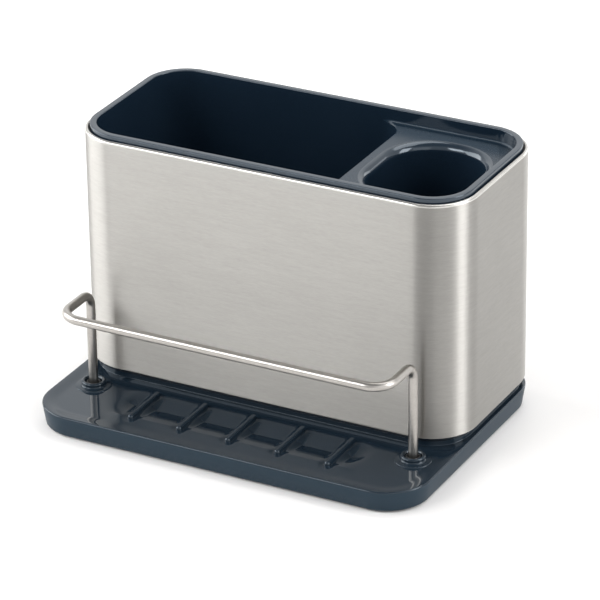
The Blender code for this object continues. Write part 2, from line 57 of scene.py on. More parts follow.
scene = bpy.context.scene


def placed(name, data):
    """A new object, linked to the scene."""
    thing = bpy.data.objects.new(name, data)
    scene.collection.objects.link(thing)
    return thing


level_right = Vector((math.cos(CAMERA_AZIMUTH), math.sin(CAMERA_AZIMUTH), 0))
camera_back = Vector((
    math.sin(CAMERA_AZIMUTH) * math.cos(CAMERA_ELEVATION),
    -math.cos(CAMERA_AZIMUTH) * math.cos(CAMERA_ELEVATION),
    math.sin(CAMERA_ELEVATION),
))
level_up = camera_back.cross(level_right)
camera_right = level_right * math.cos(CAMERA_ROLL) + level_up * math.sin(CAMERA_ROLL)
camera_up = level_up * math.cos(CAMERA_ROLL) - level_right * math.sin(CAMERA_ROLL)
camera_data = bpy.data.cameras.new("camera")
camera_data.lens = CAMERA_LENS
camera_data.sensor_width = SENSOR
camera_data.clip_end = CLIP_END
camera = placed("camera", camera_data)
turn = Matrix((camera_right, camera_up, camera_back)).transposed().to_4x4()
camera.matrix_world = Matrix.Translation(CAMERA_PLACE) @ turn
scene.camera = camera

# Drip tray
# One moulding in dark blue-grey plastic, polished on top and satin on its skirt. It dishes gently
# from its edge to a floor with five sponge ribs, shallow pans between them, and a plinth with a
# well in it.
mm = 0.001
TRAY_TOP = 12.4 * mm
FLOOR = 11.7 * mm
TRAY_CORNER = 24.5 * mm
TRAY_EDGE_ROUND = 0.8 * mm
TRAY_DRAFT = 1.6 * mm
TRAY_WALL = 2.4 * mm
TRAY_CEILING = 6.7 * mm
DISH_DEPTH = TRAY_TOP - FLOOR
DISH_WIDTH = 8.0 * mm
FOOT_ROUND = 0.4 * mm

BENCH_REAR = -30.0 * mm
REST_Y = -34.5 * mm
REST_Z = 11.5 * mm
VALLEY_Y = -45.8 * mm
VALLEY_Z = 9.5 * mm
CREST_Y = -62.0 * mm
CREST_Z = 12.3 * mm
CREST_FRONT_Y = -65.5 * mm
CREST_SLOPE = 0.3 * mm
GUTTER_Y = -71.0 * mm
GUTTER_Z = 11.7 * mm
PAN_MARGIN = 2.1 * mm
PAN_BANK = 3.6 * mm
BENCH_HALF_LENGTH = 64.0 * mm
BENCH_RUN_OUT = 9.0 * mm
SOFT_CREASE = 2.2 * mm
CRISP_CREASE = 0.5 * mm
CREASE_ENDS = (CREST_Y - 2 * mm, VALLEY_Y - mm, VALLEY_Y + 6 * mm)
CREASE_SAMPLES = 13

RIB_TOP = 13.9 * mm
RIB_COUNT = 5
RIB_PITCH = 28.9 * mm
RIB_FRONT = -64.45 * mm
RIB_REAR = -33.15 * mm
RIB_HALF_WIDTH = 1.65 * mm
RIB_FOOT_ROUND = 0.45 * mm
RIB_LANDING = 6.4 * mm
RIB_CROWN_POWER = 3.2
RIB_LANDING_POWER = 5.0
RIB_FOOT_SHARE = 0.05
RIB_STATIONS = (0, 0.45, 0.85, 1.13, 1.32, 1.46, 1.56, 1.62, 1.65, 1.73, 1.86, 2.1, 2.5, 2.9, 3.3,
                3.7, 4.1, 4.5, 4.9, 5.3, 5.8)

PLINTH_INSET = 3.0 * mm
PLINTH_TOP = 14.4 * mm
PLINTH_FILLET = 0.3 * mm
PLINTH_WALL = 2.4 * mm
PLINTH_EDGE = 0.08 * mm
WELL_FLOOR = 10.2 * mm

COLLAR_HOLE = 9.7 * mm
COLLAR_TOP = 15.0 * mm
BORE_BOTTOM = 2.8 * mm

ARC_STEPS = 24
LONG_SIDE_STEPS = 48
SHORT_SIDE_STEPS = 28
ROUND_STEPS = 5
CIRCLE_STEPS = 72
RIB_END_STEPS = 14
COLUMN_PITCH = 2.4 * mm
FLOOR_REAR = -25.0 * mm
DISH_CLEAR = 0.5 * mm
GRID_SHORT = 4.0 * mm
RINGS_SHORT = 2.0 * mm
DISH_SHARES = (0.05, 0.1, 0.17, 0.25, 0.33, 0.42, 0.5, 0.58, 0.67, 0.75, 0.83, 0.9, 0.95, 1.0)
RIB_CLEAR = 0.4 * mm
OUTLINE_CLEAR = 0.25 * mm
SMALLEST_CORNER = 0.1 * mm
WELD_DISTANCE = 0.002 * mm
SHARP_ANGLE = math.radians(38)
INSIDE_OUTLINES = 2
OUTLINE_TOLERANCE = 1e-5

tray_low, tray_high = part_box("drip_tray")
sleeve_low, sleeve_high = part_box("steel_sleeve")
BODY_CORNER = 25.5 * mm


def arc(centre, radius, start, end, steps):
    """Points along an arc, both ends included, as rows of x and y."""
    angles = np.radians(np.linspace(start, end, steps + 1))
    return np.asarray(centre) + radius * np.column_stack([np.cos(angles), np.sin(angles)])


def run(start, end, steps):
    """Points between two ends of a straight run, neither end included."""
    shares = np.linspace(0, 1, steps + 1)[1:-1, None]
    return np.asarray(start) + (np.asarray(end) - np.asarray(start)) * shares


def lifted(outline, height):
    """An outline in plan brought to a height, which may be a number or a function of x and y."""
    z = height(*outline.T) if callable(height) else np.full(len(outline), height)
    return np.column_stack([outline, z])


class Plan:
    """A rounded rectangle in plan, with one corner radius on the left and another on the right."""

    def __init__(self, x0, x1, y0, y1, left, right=None):
        self.x0, self.x1, self.y0, self.y1 = x0, x1, y0, y1
        self.left = left
        self.right = left if right is None else right

    def inset(self, by):
        left = max(self.left - by, SMALLEST_CORNER)
        right = max(self.right - by, SMALLEST_CORNER)
        return Plan(self.x0 + by, self.x1 - by, self.y0 + by, self.y1 - by, left, right)

    def corners(self, steps=ARC_STEPS):
        """The corner arcs, counter-clockwise from the rear right one."""
        left, right = self.left, self.right
        return [
            arc((self.x1 - right, self.y1 - right), right, 0, 90, steps),
            arc((self.x0 + left, self.y1 - left), left, 90, 180, steps),
            arc((self.x0 + left, self.y0 + left), left, 180, 270, steps),
            arc((self.x1 - right, self.y0 + right), right, 270, 360, steps),
        ]

    def outline(self, long=LONG_SIDE_STEPS, short=SHORT_SIDE_STEPS, steps=ARC_STEPS):
        """The corner arcs joined by straight sides."""
        arcs = self.corners(steps)
        parts = []
        for corner, following, count in zip(arcs, arcs[1:] + arcs[:1], (long, short, long, short)):
            parts += [corner, run(corner[-1], following[0], count)]
        return np.vstack(parts)

    def ring(self, height):
        return lifted(self.outline(), height)

    def rings(self, profile):
        """Rings at pairs of inset and height."""
        return [self.inset(inset).ring(height) for inset, height in profile]

    def depth(self, x, y):
        """Distance from the outline, positive inside it."""
        centre_x = (self.x0 + self.x1) / 2
        radius = np.where(x < centre_x, self.left, self.right)
        across = np.abs(x - centre_x) - (self.x1 - self.x0) / 2 + radius
        along = np.abs(y - (self.y0 + self.y1) / 2) - (self.y1 - self.y0) / 2 + radius
        outside = np.hypot(np.maximum(across, 0), np.maximum(along, 0))
        return radius - outside - np.minimum(np.maximum(across, along), 0)


def circle(x, y, radius, height, steps=CIRCLE_STEPS):
    return lifted(arc((x, y), radius, 0, 360, steps)[:-1], height)


def rounded(start, end, steps=ROUND_STEPS):
    """Insets and heights on a quarter round that leaves start level and reaches end upright."""
    pairs = []
    for angle in np.linspace(0, math.pi / 2, steps + 1):
        inset = start[0] + (end[0] - start[0]) * math.sin(angle)
        pairs.append((inset, start[1] + (end[1] - start[1]) * (1 - math.cos(angle))))
    return pairs


class Shell:
    """Collects the skins and sheets of one moulding, and welds them into a mesh."""

    def __init__(self):
        self.points, self.faces, self.finishes = [], [], []

    def add(self, points, faces, finish):
        first = len(self.points)
        self.points.extend(map(tuple, points))
        self.faces.extend([[first + i for i in face] for face in faces])
        self.finishes.extend([finish] * len(faces))

    def skin(self, rings, finish=0, caps=()):
        """Quads from each ring to the next, and a face over each ring named in caps."""
        count = len(rings[0])
        faces = []
        for base in range(0, (len(rings) - 1) * count, count):
            for i in range(count):
                j = (i + 1) % count
                faces.append((base + i, base + j, base + count + j, base + count + i))
        self.add(np.vstack(rings), faces, finish)
        for cap in caps:
            self.add(rings[cap], [list(range(count))], finish)

    def sheet(self, outlines, height, inner_points, in_hole, finish=0):
        """Triangles between an outline and the holes in it, with more points where it bends."""
        points, edges = [], []
        for outline in outlines:
            first, count = len(points), len(outline)
            points.extend(outline[:, :2].tolist())
            edges.extend([(first + i, first + (i + 1) % count) for i in range(count)])
        points.extend(inner_points.tolist())
        scaled = [Vector((x / mm, y / mm)) for x, y in points]
        flat, _, faces, _, _, _ = geometry.delaunay_2d_cdt(
            scaled, edges, [], INSIDE_OUTLINES, OUTLINE_TOLERANCE)
        plan = np.array([tuple(point) for point in flat]) * mm
        middles = plan[np.array(faces)].mean(axis=1)
        open_here = in_hole(middles[:, 0], middles[:, 1])
        kept = [face for face, hole in zip(faces, open_here) if not hole]
        self.add(lifted(plan, height), kept, finish)

    def piece(self, name, materials):
        mesh = bmesh.new()
        vertices = [mesh.verts.new(point) for point in self.points]
        for face, finish in zip(self.faces, self.finishes):
            mesh.faces.new([vertices[i] for i in face]).material_index = finish
        bmesh.ops.remove_doubles(mesh, verts=mesh.verts, dist=WELD_DISTANCE)
        bmesh.ops.recalc_face_normals(mesh, faces=mesh.faces)
        data = bpy.data.meshes.new(name)
        mesh.to_mesh(data)
        mesh.free()
        for material in materials:
            data.materials.append(material)
        data.shade_smooth()
        data.set_sharp_from_angle(angle=SHARP_ANGLE)
        return placed(name, data)


def cut(piece, tool):
    """Takes one closed shape out of another for good, and removes the tool."""
    step = piece.modifiers.new("cut", "BOOLEAN")
    step.operation = "DIFFERENCE"
    step.solver = "EXACT"
    step.object = tool
    bpy.context.view_layer.update()
    evaluated = piece.evaluated_get(bpy.context.evaluated_depsgraph_get())
    data = bpy.data.meshes.new_from_object(evaluated)
    piece.modifiers.clear()
    piece.data = data
    data.name = piece.name
    data.set_sharp_from_angle(angle=SHARP_ANGLE)
    bpy.data.objects.remove(tool, do_unlink=True)


def smooth(share):
    share = np.clip(share, 0, 1)
    return share * share * (3 - 2 * share)


tray_plan = Plan(tray_low.x, tray_high.x, tray_low.y, tray_high.y, TRAY_CORNER)
body_plan = Plan(sleeve_low.x, sleeve_high.x, sleeve_low.y, sleeve_high.y, BODY_CORNER)
rib_places = [(index - (RIB_COUNT - 1) / 2) * RIB_PITCH for index in range(RIB_COUNT)]
rail_low, rail_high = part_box("rail")
grommet_low, grommet_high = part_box("rail_grommet_right")
LEG_X = (grommet_low.x + grommet_high.x) / 2
LEG_Y = (grommet_low.y + grommet_high.y) / 2


def off_rib(x, y, place):
    """Distance from the middle line of a rib, whose ends are round."""
    ahead, behind = RIB_FRONT + RIB_HALF_WIDTH - y, y - RIB_REAR + RIB_HALF_WIDTH
    return np.hypot(x - place, np.maximum(np.maximum(ahead, behind), 0))


def off_ribs(x, y):
    return np.min([off_rib(x, y, place) for place in rib_places], axis=0)


def bench_height(y):
    """The sponge bench in section: a rest, a valley, a ramp to a crest, and a gutter in front."""
    section = [
        (tray_low.y, TRAY_TOP), (tray_low.y + TRAY_EDGE_ROUND, TRAY_TOP), (GUTTER_Y, GUTTER_Z),
        (CREST_FRONT_Y, CREST_Z - CREST_SLOPE), (CREST_Y, CREST_Z), (VALLEY_Y, VALLEY_Z),
        (REST_Y, REST_Z), (BENCH_REAR, FLOOR),
    ]
    stations, heights = zip(*section)
    crest, ramp, rest = CREASE_ENDS
    crease = np.select([y < crest, y < ramp, y > rest], [SOFT_CREASE, CRISP_CREASE, SOFT_CREASE], 0)
    reach = np.linspace(-1, 1, CREASE_SAMPLES)[:, None]
    return np.interp(y + reach * crease, stations, heights).mean(axis=0)


def on_bench(x, y):
    """1 in the bench's pans, fading to 0 round each rib, at the bench's ends and behind it."""
    along = 1 - smooth((np.abs(x) - BENCH_HALF_LENGTH) / BENCH_RUN_OUT)
    pan = smooth((off_ribs(x, y) - PAN_MARGIN) / PAN_BANK)
    return np.where(y < BENCH_REAR + SOFT_CREASE, along * pan, 0)


def rib_share(x, y):
    """How far up a rib a point stands: 0 beyond its foot, 1 on its crown, flat at the rear."""
    out = off_ribs(x, y)
    landing = smooth((y - RIB_REAR + RIB_LANDING) / mm + 0.5)
    power = RIB_CROWN_POWER + RIB_LANDING_POWER * landing
    crown = np.sqrt(1 - np.clip(out / RIB_HALF_WIDTH, 0, 1) ** power)
    foot = RIB_FOOT_SHARE * (1 - np.clip((out - RIB_HALF_WIDTH) / RIB_FOOT_ROUND, 0, 1)) ** 2
    return np.where(out < RIB_HALF_WIDTH, np.maximum(crown, RIB_FOOT_SHARE), foot)


def tray_height(x, y):
    dish = np.clip((tray_plan.depth(x, y) - TRAY_EDGE_ROUND) / DISH_WIDTH, 0, 1)
    base = TRAY_TOP - DISH_DEPTH * (1 - np.cos(math.pi * dish)) / 2
    base = base + (bench_height(y) - base) * on_bench(x, y)
    return base + (RIB_TOP - base) * rib_share(x, y)


def rib_points(place, rows):
    """Points in loops round a rib, close together where its side is steep."""
    front, rear = RIB_FRONT + RIB_HALF_WIDTH, RIB_REAR - RIB_HALF_WIDTH
    straight = rows[(rows > front) & (rows < rear)]
    points = []
    for out in RIB_STATIONS:
        for side in (-1, 1):
            line = np.full(len(straight), place + side * out * mm)
            points.append(np.column_stack([line, straight]))
        if out:
            points.append(arc((place, front), out * mm, 180, 360, RIB_END_STEPS))
            points.append(arc((place, rear), out * mm, 0, 180, RIB_END_STEPS))
    return np.unique(np.round(np.vstack(points), 8), axis=0)


def tray_floor_points(foot_plan):
    """Points of the tray's top, close together at ribs and creases and wide apart elsewhere."""
    columns = np.arange(tray_low.x, tray_high.x, COLUMN_PITCH)
    # Bands of rows: front, rear and pitch
    row_bands = [
        (tray_low.y + TRAY_EDGE_ROUND + 0.9 * mm, CREST_Y - 1.0 * mm, 0.9 * mm),
        (CREST_Y - 0.9 * mm, CREST_Y + 1.0 * mm, 0.3 * mm),
        (CREST_Y + 1.6 * mm, VALLEY_Y - 0.6 * mm, 1.2 * mm),
        (VALLEY_Y - 0.15 * mm, VALLEY_Y + 0.2 * mm, 0.15 * mm),
        (VALLEY_Y + 1.0 * mm, FLOOR_REAR, 1.0 * mm),
    ]
    rows = np.concatenate([np.arange(front, rear, step) for front, rear, step in row_bands])
    x, y = (grid.ravel() for grid in np.meshgrid(columns, rows))
    within_dish = tray_plan.depth(x, y) < TRAY_EDGE_ROUND + DISH_WIDTH + DISH_CLEAR
    bench_end = BENCH_HALF_LENGTH + BENCH_RUN_OUT
    on_grid = (np.abs(x) < bench_end - GRID_SHORT) & (y < BENCH_REAR)
    points = [np.column_stack([x, y])[on_grid | ~within_dish]]
    for share in DISH_SHARES:
        ring = tray_plan.inset(TRAY_EDGE_ROUND + DISH_WIDTH * share).outline(long=120, short=48)
        in_front = (np.abs(ring[:, 0]) < bench_end - RINGS_SHORT) & (ring[:, 1] < BENCH_REAR)
        points.append(ring[~in_front])
    points = np.vstack(points)
    points = points[off_ribs(*points.T) > RIB_STATIONS[-1] * mm + RIB_CLEAR]
    points = np.vstack([points, *(rib_points(place, rows) for place in rib_places)])
    x, y = points.T
    off_collars = np.hypot(np.abs(x) - LEG_X, y - LEG_Y) > COLLAR_HOLE + OUTLINE_CLEAR
    return points[off_collars & (foot_plan.depth(x, y) < -OUTLINE_CLEAR)]


tray = Shell()
plinth_foot = body_plan.inset(PLINTH_INSET - PLINTH_FILLET)
collar_rings = [circle(side * LEG_X, LEG_Y, COLLAR_HOLE, tray_height) for side in (-1, 1)]
top_edge = tray_plan.inset(TRAY_EDGE_ROUND).ring(tray_height)


def under_plinth_or_collar(x, y):
    return (plinth_foot.depth(x, y) > 0) | (np.hypot(np.abs(x) - LEG_X, y - LEG_Y) < COLLAR_HOLE)


tray.sheet([top_edge, plinth_foot.ring(tray_height), *collar_rings], tray_height,
           tray_floor_points(plinth_foot), under_plinth_or_collar)

# The plinth's rings, from its filleted foot over its top and down into the well
plinth_rings = []
for inset, rise in rounded((0, 0), (PLINTH_FILLET, PLINTH_FILLET), steps=4):
    ring = plinth_foot.inset(inset).ring(0)
    ring[:, 2] = tray_height(*plinth_foot.outline().T) + rise
    ring[:, 2] = np.minimum(ring[:, 2], PLINTH_TOP - PLINTH_EDGE)
    plinth_rings.append(ring)
plinth_rim = rounded((PLINTH_EDGE, PLINTH_TOP), (0, PLINTH_TOP - PLINTH_EDGE))[::-1]
plinth_rim += [(PLINTH_WALL - inset, height) for inset, height in plinth_rim[::-1]]
plinth_rim.append((PLINTH_WALL, WELL_FLOOR))
plinth_rings += body_plan.rings((PLINTH_INSET + inset, height) for inset, height in plinth_rim)
tray.skin(plinth_rings, caps=[-1])

# A collar round each rail leg: a low flange, a neck, a rolled ring on top and the bore inside it
COLLAR_PROFILE = [
    (9.7, 0.7), (9.67, 0.82), (9.58, 0.94), (9.38, 1.04), (9.08, 1.12), (8.6, 1.18), (8.0, 1.24),
    (7.4, 1.34), (6.95, 1.49), (6.65, 1.72), (6.48, 2.0), (6.42, 2.3), (6.48, 2.6), (6.56, 2.9),
    (6.56, 3.2), (6.46, 3.5), (6.24, 3.76), (5.92, 3.94), (5.55, 4.0), (5.18, 3.94), (4.86, 3.76),
    (4.6, 3.46), (4.4, 3.1), (4.28, 2.7), (4.25, 2.3),
]
collar_base = COLLAR_TOP - max(rise for _, rise in COLLAR_PROFILE) * mm
for side, foot_ring in zip((-1, 1), collar_rings):
    rings = [foot_ring]
    for radius, rise in COLLAR_PROFILE[1:]:
        rings.append(circle(side * LEG_X, LEG_Y, radius * mm, collar_base + rise * mm))
    rings.append(circle(side * LEG_X, LEG_Y, COLLAR_PROFILE[-1][0] * mm, BORE_BOTTOM))
    tray.skin(rings, caps=[-1])

# The skirt, down to a closed bottom that the hollow is cut from
edge_rings = tray_plan.rings(rounded((TRAY_EDGE_ROUND, TRAY_TOP), (0, TRAY_TOP - TRAY_EDGE_ROUND)))
edge_rings[0] = top_edge
tray.skin(edge_rings)
foot = tray_plan.rings(rounded(
    (TRAY_DRAFT + FOOT_ROUND, tray_low.z), (TRAY_DRAFT, tray_low.z + FOOT_ROUND), steps=3)[::-1])
tray.skin([edge_rings[-1], *foot], finish=1, caps=[-1])

# The hollow under the tray, with a post left standing in it for each foot and each rail leg
FOOT_POST_WALL = 2.0 * mm
FOOT_CLEARANCE = 0.3 * mm
SOCKET_TUBE = 5.8 * mm
BELOW = -4.0 * mm


def solid(name, *stacks):
    """A closed shape for cutting, made of stacks of rings."""
    shell = Shell()
    for rings in stacks:
        shell.skin(rings, caps=[0, -1])
    return shell.piece(name, [])


def post(x, y, radius, heights=(2 * BELOW, 2 * TRAY_CEILING)):
    """A round post, as rings at two heights."""
    return [circle(x, y, radius, height) for height in heights]


hollow_plan = tray_plan.inset(TRAY_DRAFT + TRAY_WALL)
hollow = solid("tray_hollow", [hollow_plan.ring(BELOW), hollow_plan.ring(TRAY_CEILING)])
foot_nodes = [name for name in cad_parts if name.startswith("tray_foot_")]
posts, recesses = [], []
for name in foot_nodes:
    low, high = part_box(name)
    centre = (low + high) / 2
    radius = (high.x - low.x) / 2 + FOOT_CLEARANCE
    posts.append(post(centre.x, centre.y, radius + FOOT_POST_WALL))
    recesses.append(post(centre.x, centre.y, radius, (BELOW, high.z + FOOT_CLEARANCE)))
for side in (-1, 1):
    posts.append(post(side * LEG_X, LEG_Y, SOCKET_TUBE))
cut(hollow, solid("posts", *posts))

# Shader node groups that several finishes share
SPECK_SCALE = 3800.0
SPECK_EDGE = (0.70, 0.78)
LEVEL_FACES = (0.75, 1.0)
DUST_ROUGHNESS = 0.4
EDGE_GAIN = 16.0
EDGE_BREAKS = (0.42, 0.6)


def node_group(name, inputs, outputs):
    """An empty group with named numbers as its inputs and outputs."""
    group = bpy.data.node_groups.new(name, "ShaderNodeTree")
    for label, value in inputs:
        socket = group.interface.new_socket(label, in_out="INPUT", socket_type="NodeSocketFloat")
        socket.default_value = value
    for label in outputs:
        group.interface.new_socket(label, in_out="OUTPUT", socket_type="NodeSocketFloat")
    nodes = group.nodes
    return group, nodes.new("NodeGroupInput"), nodes.new("NodeGroupOutput")


def add_node(tree, kind, links=(), **settings):
    """A node with its settings made, and its inputs linked or set: (input, socket or value)."""
    node = tree.nodes.new(kind)
    for label, value in settings.items():
        setattr(node, label, value)
    for label, value in links:
        if isinstance(value, bpy.types.NodeSocket):
            tree.links.new(value, node.inputs[label])
        else:
            node.inputs[label].default_value = value
    return node


def math_node(tree, operation, *values, clamp=False):
    links = list(enumerate(values))
    return add_node(tree, "ShaderNodeMath", links, operation=operation, use_clamp=clamp).outputs[0]


def object_place(tree):
    """Place on the piece itself, in metres."""
    return add_node(tree, "ShaderNodeTexCoord").outputs["Object"]


def noise(tree, place, scale, detail, roughness=0.5):
    return add_node(tree, "ShaderNodeTexNoise", [
        ("Vector", place), ("Scale", scale), ("Detail", detail), ("Roughness", roughness),
    ]).outputs["Fac"]


def remap(tree, value, low, high, to_low=0.0, to_high=1.0):
    return add_node(tree, "ShaderNodeMapRange", [
        ("Value", value), ("From Min", low), ("From Max", high),
        ("To Min", to_low), ("To Max", to_high),
    ]).outputs["Result"]


def build_moulded_skin():
    """Moulded plastic: slow flow marks in its gloss, a fine skin, and dust on level faces."""
    group, source, result = node_group("moulded_skin", [
        ("Flow Scale", 45.0), ("Skin Scale", 2600.0), ("Low Gloss", 0.06), ("High Gloss", 0.11),
        ("Dust", 0.1),
    ], ("Roughness", "Height", "Mottle", "Dust"))
    place = object_place(group)
    flow = noise(group, place, source.outputs["Flow Scale"], detail=3.0)
    skin = noise(group, place, source.outputs["Skin Scale"], detail=2.0)
    spread = math_node(group, "SUBTRACT", source.outputs["High Gloss"], source.outputs["Low Gloss"])
    gloss = math_node(group, "MULTIPLY_ADD", flow, spread, source.outputs["Low Gloss"])
    normal = add_node(group, "ShaderNodeNewGeometry").outputs["Normal"]
    upward = add_node(group, "ShaderNodeSeparateXYZ", [(0, normal)]).outputs["Z"]
    level = remap(group, upward, *LEVEL_FACES)
    specks = remap(group, noise(group, place, SPECK_SCALE, detail=1.0), *SPECK_EDGE)
    settled = math_node(group, "MULTIPLY", specks, level)
    dust = math_node(group, "MULTIPLY", settled, source.outputs["Dust"])
    roughness = math_node(group, "MULTIPLY_ADD", dust, DUST_ROUGHNESS, gloss)
    found = {"Roughness": roughness, "Height": skin, "Mottle": flow, "Dust": dust}
    for label, value in found.items():
        group.links.new(value, result.inputs[label])
    return group


def build_rubbed_edges():
    """Edges rubbed by handling: a broken mask along what stands proud."""
    group, source, result = node_group("rubbed_edges", [
        ("Sharpness", 0.56), ("Break Scale", 900.0),
    ], ("Mask",))
    proud = add_node(group, "ShaderNodeNewGeometry").outputs["Pointiness"]
    over = math_node(group, "SUBTRACT", proud, source.outputs["Sharpness"])
    edge = math_node(group, "MULTIPLY", over, EDGE_GAIN, clamp=True)
    patches = noise(group, object_place(group), source.outputs["Break Scale"], detail=4.0)
    broken = remap(group, patches, *EDGE_BREAKS)
    group.links.new(math_node(group, "MULTIPLY", edge, broken), result.inputs["Mask"])
    return group


moulded_skin = build_moulded_skin()
rubbed_edges = build_rubbed_edges()


def set_inputs(node, **values):
    for label, value in values.items():
        node.inputs[label.replace("_", " ")].default_value = value


def place_group(tree, group, **values):
    node = add_node(tree, "ShaderNodeGroup", node_tree=group)
    set_inputs(node, **values)
    return node


def new_material(name):
    """A material with its node tree and its Principled shader."""
    material = bpy.data.materials.new(name)
    material.use_nodes = True
    return material, material.node_tree, material.node_tree.nodes["Principled BSDF"]


def mix_colours(tree, share, first, second):
    """A blend of two colours, each a socket or the amounts of red, green and blue."""
    node = add_node(tree, "ShaderNodeMix", data_type="RGBA")
    for label, value in (("Factor", share), ("A", first), ("B", second)):
        socket = [s for s in node.inputs if s.name == label and s.enabled][0]
        if isinstance(value, bpy.types.NodeSocket):
            tree.links.new(value, socket)
        else:
            socket.default_value = (*value, 1.0)
    return [s for s in node.outputs if s.enabled][0]


def bump(tree, shader, height, distance):
    node = add_node(tree, "ShaderNodeBump", [("Height", height), ("Distance", distance)])
    tree.links.new(node.outputs["Normal"], shader.inputs["Normal"])


DUST_COLOUR = (0.30, 0.31, 0.32)
COOL_TINT = (0.82, 0.92, 1.0, 1.0)
RUB_SHARE = 0.35
RUB_ROUGHNESS = 0.12


def plastic(name, deep, pale, gloss, skin_depth, rubbed=(0.05, 0.065, 0.085), dust=0.12,
            skin_scale=2600.0, ior=1.49):
    """A moulded blue-grey plastic between two colours, with paler rubbed edges and a fine skin."""
    material, tree, shader = new_material(name)
    skin = place_group(tree, moulded_skin, Low_Gloss=gloss[0], High_Gloss=gloss[1], Dust=dust,
                       Skin_Scale=skin_scale)
    edges = place_group(tree, rubbed_edges)
    body = mix_colours(tree, skin.outputs["Mottle"], deep, pale)
    mask = edges.outputs["Mask"]
    worn = mix_colours(tree, math_node(tree, "MULTIPLY", mask, RUB_SHARE), body, rubbed)
    dusty = mix_colours(tree, skin.outputs["Dust"], worn, DUST_COLOUR)
    tree.links.new(dusty, shader.inputs["Base Color"])
    roughness = math_node(tree, "MULTIPLY_ADD", mask, RUB_ROUGHNESS, skin.outputs["Roughness"])
    tree.links.new(roughness, shader.inputs["Roughness"])
    set_inputs(shader, IOR=ior, Specular_Tint=COOL_TINT)
    bump(tree, shader, skin.outputs["Height"], skin_depth)
    return material


# The satin skirt gets a lighter, bluer colour than the polished top, though both are one plastic.
# This is painted light on the skirt and painted shade on the top.
tray_gloss_painted_shade = plastic(
    "tray_gloss_painted_shade", deep=(0.0095, 0.0175, 0.0275), pale=(0.012, 0.0215, 0.033), gloss=(0.035, 0.07),
    rubbed=(0.05, 0.062, 0.078), skin_depth=0.002 * mm)
tray_satin_painted_light = plastic(
    "tray_satin_painted_light", deep=(0.0105, 0.0245, 0.039), pale=(0.013, 0.0285, 0.044), gloss=(0.36, 0.44),
    rubbed=(0.055, 0.068, 0.085), skin_depth=0.012 * mm, skin_scale=1500.0, ior=1.38)

tray_piece = tray.piece("tray_moulding", [tray_gloss_painted_shade, tray_satin_painted_light])
cut(tray_piece, hollow)
cut(tray_piece, solid("foot_recesses", *recesses))
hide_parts("drip_tray")
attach(tray_piece, "tray")

# Non-slip feet
# Four soft black rubber discs, pressed into recesses under the tray's corners.
# They keep their solids and get a matt, faintly pitted finish.


def rubber(name, deep, pale, rough, depth):
    material, tree, shader = new_material(name)
    skin = place_group(tree, moulded_skin, Low_Gloss=rough[0], High_Gloss=rough[1],
                       Flow_Scale=160.0, Skin_Scale=1300.0, Dust=0.3)
    body = mix_colours(tree, skin.outputs["Mottle"], deep, pale)
    dusty = mix_colours(tree, skin.outputs["Dust"], body, DUST_COLOUR)
    tree.links.new(dusty, shader.inputs["Base Color"])
    tree.links.new(skin.outputs["Roughness"], shader.inputs["Roughness"])
    bump(tree, shader, skin.outputs["Height"], depth)
    return material


def refinish(node, material):
    """Gives a carried-over solid its finish."""
    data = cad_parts[node].data
    data.materials.clear()
    data.materials.append(material)


foot_rubber = rubber("foot_rubber", deep=(0.010, 0.010, 0.011), pale=(0.018, 0.018, 0.019),
                     rough=(0.72, 0.9), depth=0.03 * mm)
for name in foot_nodes:
    refinish(name, foot_rubber)

# Rail grommets
# Soft black tubes pushed down the two collars. Each grips a leg of the rail, and its rolled top
# edge shows as a dark ring round the wire.
GROMMET_LIP = 0.35 * mm
GROMMET_BORE = 2.75 * mm
GROMMET_SIDES = 48
LIP_POINTS = 9
grommet_rubber = rubber("grommet_rubber", deep=(0.008, 0.009, 0.010), pale=(0.014, 0.015, 0.017),
                        rough=(0.5, 0.7), depth=0.01 * mm)
grommet_outer = (grommet_high.x - grommet_low.x) / 2
for side, label in ((-1, "left"), (1, "right")):
    grommet = Shell()
    middle = (grommet_outer + GROMMET_BORE) / 2
    profile = [(GROMMET_BORE, grommet_low.z), (grommet_outer, grommet_low.z)]
    for angle in np.radians(np.linspace(0, 180, LIP_POINTS)):
        radius = middle + (grommet_outer - middle) * math.cos(angle)
        profile.append((radius, grommet_high.z - GROMMET_LIP * (1 - math.sin(angle))))
    rings = [circle(side * LEG_X, LEG_Y, radius, height, GROMMET_SIDES)
             for radius, height in profile]
    grommet.skin([*rings, rings[0]])
    piece = grommet.piece(f"grommet_{label}", [grommet_rubber])
    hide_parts(f"rail_grommet_{label}")
    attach(piece, "tray")

# Rail
# One length of stainless wire, bent at four corners and drawn satin along its run.
# Its legs stand in the grommets, and a cloth can hang over its front run.
WIRE_RADIUS = 2.45 * mm
RAIL_TOP_BEND = 7.8 * mm
RAIL_CORNER_BEND = 11.5 * mm
BEND_STEPS = 20
WIRE_SIDES = 40
WIRE_END_ROUND = 0.5 * mm
RUN_POINTS = 12
LEG_MARGINS = (4.0 * mm, 2.0 * mm)
FRONT_RUN_START = 0.1
RAIL_AXIS_Z = rail_high.z - WIRE_RADIUS
RAIL_FRONT_Y = rail_low.y + WIRE_RADIUS


